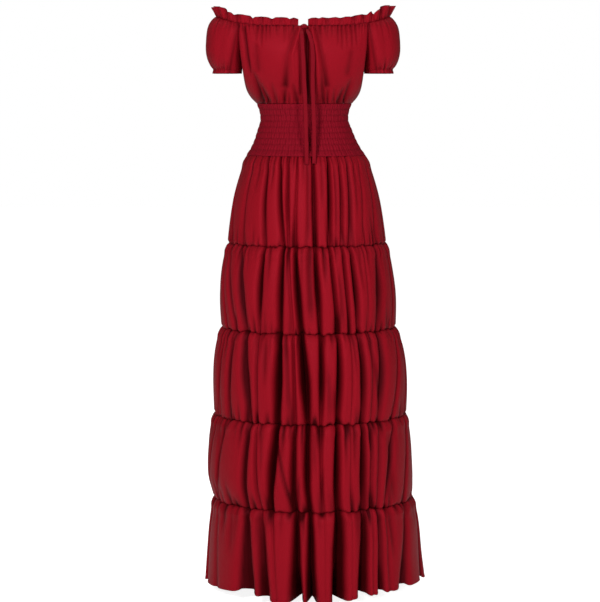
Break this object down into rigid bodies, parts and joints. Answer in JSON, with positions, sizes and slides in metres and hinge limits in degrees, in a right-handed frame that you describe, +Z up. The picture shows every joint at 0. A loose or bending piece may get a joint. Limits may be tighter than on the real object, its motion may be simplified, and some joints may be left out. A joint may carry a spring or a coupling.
{
  "type": "off-shoulder tiered medieval style gown",
  "caption": "Full-length off-shoulder peasant gown with frilled neckline, short puffed sleeves, smocked waist and gathered tiers, hollow as worn.",
  "frame": {"origin": "middle of the elastic neckline, level with the tops of the sleeves", "axes": "+Z up, +X towards the wearer's left, -Y out of the front of the gown"},
  "size_m": [0.5242, 0.4362, 1.3575],
  "materials": {
    "bodice_cloth": "matte satin weave, deep crimson",
    "smocked_cloth": "matte weave drawn up by elastic thread, deep crimson",
    "skirt_cloth": "matte satin weave, deep crimson",
    "tie_cloth": "flat self-fabric tape, deep crimson"
  },
  "bodies": {
    "root": {"bodice_front": "bodice_cloth", "bodice_back": "bodice_cloth", "sleeve_left": "bodice_cloth", "sleeve_right": "bodice_cloth", "neck_frill": "bodice_cloth", "waistband_smocked": "smocked_cloth", "skirt_tier_1": "skirt_cloth", "skirt_tier_2": "skirt_cloth", "skirt_tier_3": "skirt_cloth", "skirt_tier_4": "skirt_cloth", "skirt_tier_5": "skirt_cloth", "drawstring_end_left": "tie_cloth", "drawstring_end_right": "tie_cloth", "drawstring_knot": "tie_cloth"}
  },
  "joints": []
}
